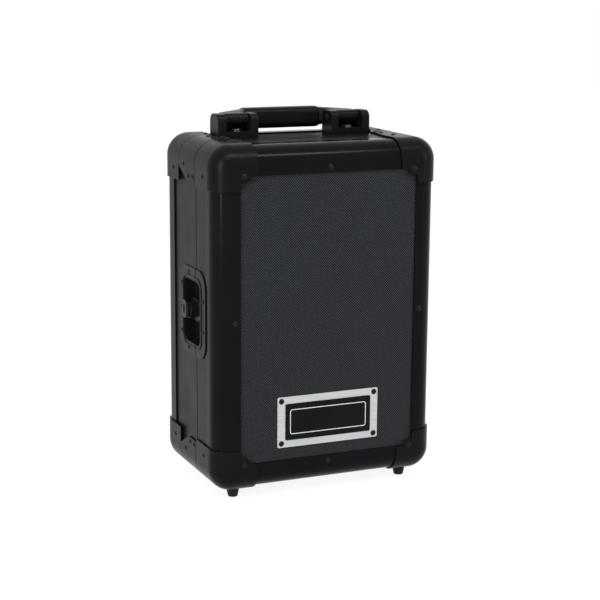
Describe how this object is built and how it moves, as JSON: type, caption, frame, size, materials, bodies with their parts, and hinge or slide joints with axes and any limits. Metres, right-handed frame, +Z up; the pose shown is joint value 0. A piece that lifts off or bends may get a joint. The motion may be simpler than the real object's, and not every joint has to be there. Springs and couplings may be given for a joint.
{
  "type": "flight case",
  "caption": "Small upright flight case for a lighting controller: hinged lid, ball corners, butterfly latch, folding top handle, foam lining and rubber feet.",
  "frame": {"origin": "centre of the case's footprint on the surface under its feet", "axes": "+Z up, the front panel faces -Y, the latch is on the -X side and the hinges are on the +X side"},
  "size_m": [0.2392, 0.1538, 0.365],
  "materials": {
    "laminate": "black laminated board with a fine dimpled texture",
    "frame_alloy": "satin black finish on alloy extrusion",
    "corner_steel": "satin black powder coat on pressed steel",
    "dark_rivet": "black rivet heads, semi gloss",
    "silver_plate": "satin silver, finely brushed",
    "plate_inset": "black printed window",
    "foam": "dark grey closed cell foam",
    "rubber": "matt black rubber",
    "handle_plastic": "black moulded plastic, fine grain",
    "dark_steel": "blackened steel",
    "latch_black": "black coated pressed steel, satin"
  },
  "bodies": {
    "base": {"back_panel": "laminate", "base_left_board": "laminate", "base_right_board": "laminate", "base_top_board": "laminate", "base_bottom_board": "laminate", "base_left_edge": "frame_alloy", "base_right_edge": "frame_alloy", "base_top_edge": "frame_alloy", "base_bottom_edge": "frame_alloy", "rear_corner_bottom_left": "corner_steel", "rear_corner_bottom_right": "corner_steel", "rear_corner_top_left": "corner_steel", "rear_corner_top_right": "corner_steel", "base_parting_rails": "frame_alloy", "base_corner_posts": "frame_alloy", "middle_corner_plates": "corner_steel", "base_rivets": "dark_rivet", "base_foam": "foam", "rear_feet": "rubber", "rear_foot_screws": "dark_steel", "handle_bracket_left": "handle_plastic", "handle_bracket_right": "handle_plastic", "handle_bolts": "dark_steel", "handle_nuts": "dark_steel", "handle_backing_plates": "dark_steel", "latch_dish": "latch_black", "upper_hinge_base_leaf": "latch_black", "lower_hinge_base_leaf": "latch_black", "hinge_pins": "dark_steel"},
    "lid": {"front_panel": "laminate", "lid_left_board": "laminate", "lid_right_board": "laminate", "lid_top_board": "laminate", "lid_bottom_board": "laminate", "lid_left_edge": "frame_alloy", "lid_right_edge": "frame_alloy", "lid_top_edge": "frame_alloy", "lid_bottom_edge": "frame_alloy", "front_corner_bottom_left": "corner_steel", "front_corner_bottom_right": "corner_steel", "front_corner_top_left": "corner_steel", "front_corner_top_right": "corner_steel", "lid_parting_rails": "frame_alloy", "lid_corner_posts": "frame_alloy", "lid_rivets": "dark_rivet", "name_plate": "silver_plate", "name_plate_inset": "plate_inset", "name_plate_rivets": "dark_rivet", "lid_foam": "foam", "front_feet": "rubber", "front_foot_screws": "dark_steel", "latch_keeper": "latch_black", "upper_hinge_lid_leaf": "latch_black", "lower_hinge_lid_leaf": "latch_black"},
    "handle": {"handle_grip": "handle_plastic", "handle_pins": "dark_steel"},
    "spindle": {"latch_spindle": "latch_black"},
    "wing": {"latch_wing": "latch_black", "latch_wing_pin": "dark_steel"},
    "hook": {"latch_hook": "latch_black"}
  },
  "joints": [
    {"name": "lid_hinge", "type": "hinge", "parent": "base", "child": "lid", "pos_m": [0.1168, -0.0199, 0.1758], "axis": [0, 0, 1], "range_deg": [0, 110]},
    {"name": "handle_pivot", "type": "hinge", "parent": "base", "child": "handle", "pos_m": [0, 0.022, 0.3568], "axis": [1, 0, 0], "range_deg": [0, 90]},
    {"name": "latch_turn", "type": "hinge", "parent": "base", "child": "spindle", "pos_m": [-0.115, -0.0013, 0.1768], "axis": [1, 0, 0], "range_deg": [0, 180]},
    {"name": "wing_fold", "type": "hinge", "parent": "spindle", "child": "wing", "pos_m": [-0.1176, -0.0013, 0.1768], "axis": [0, 0, 1], "range_deg": [0, 90]},
    {"name": "hook_slide", "type": "slide", "parent": "base", "child": "hook", "axis": [0, -1, 0], "range_m": [0, 0.003]}
  ],
  "couplings": [
    {"joint": "hook_slide", "follows": "latch_turn", "m_per_rad": 0.000954}
  ]
}
